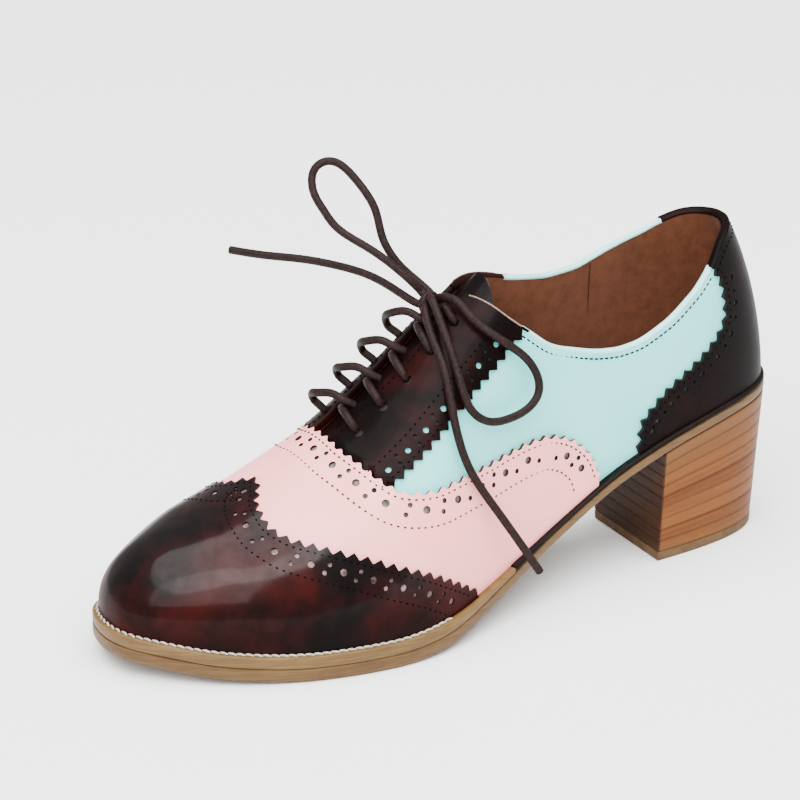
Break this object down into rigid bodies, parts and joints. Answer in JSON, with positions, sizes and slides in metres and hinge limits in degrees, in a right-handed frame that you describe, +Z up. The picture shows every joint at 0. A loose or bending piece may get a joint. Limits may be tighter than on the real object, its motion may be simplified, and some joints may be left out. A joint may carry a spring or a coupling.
{
  "type": "heeled wing-tip oxford shoe",
  "caption": "Left lace-up shoe with a winged toe cap, pinked overlays, a welted leather sole and a stacked block heel.",
  "frame": {"origin": "middle of the box of the shoe without its free laces, on the floor", "axes": "+X from heel to toe, +Y to the outer side of the foot, +Z up"},
  "size_m": [0.246, 0.1097, 0.1425],
  "materials": {
    "sole_leather": "satin tan edge",
    "welt_leather": "satin tan edge",
    "dark_strip": "dark brown, satin",
    "stacked_heel": "stacked layers, satin",
    "heel_lift": "matt tan",
    "lining": "brown suede",
    "mint_leather": "smooth, soft gloss",
    "pink_leather": "smooth, soft gloss",
    "oxblood_leather": "high gloss, brushed off",
    "waxed_lace": "waxed round cord"
  },
  "bodies": {
    "root": {"outsole": "sole_leather", "welt": "welt_leather", "seat_strip": "dark_strip", "heel_block": "stacked_heel", "heel_lift": "heel_lift", "insole": "lining", "upper": "mint_leather", "vamp": "pink_leather", "toe_cap": "oxblood_leather", "heel_counter": "oxblood_leather", "eyestay_lateral": "oxblood_leather", "eyestay_medial": "oxblood_leather", "tongue": "oxblood_leather", "lace_crossing_1": "waxed_lace", "lace_crossing_2": "waxed_lace", "lace_crossing_3": "waxed_lace", "lace_crossing_4": "waxed_lace", "lace_knot": "waxed_lace", "lace_loop_a": "waxed_lace", "lace_loop_b": "waxed_lace", "lace_end_a": "waxed_lace", "lace_end_b": "waxed_lace"}
  },
  "joints": []
}
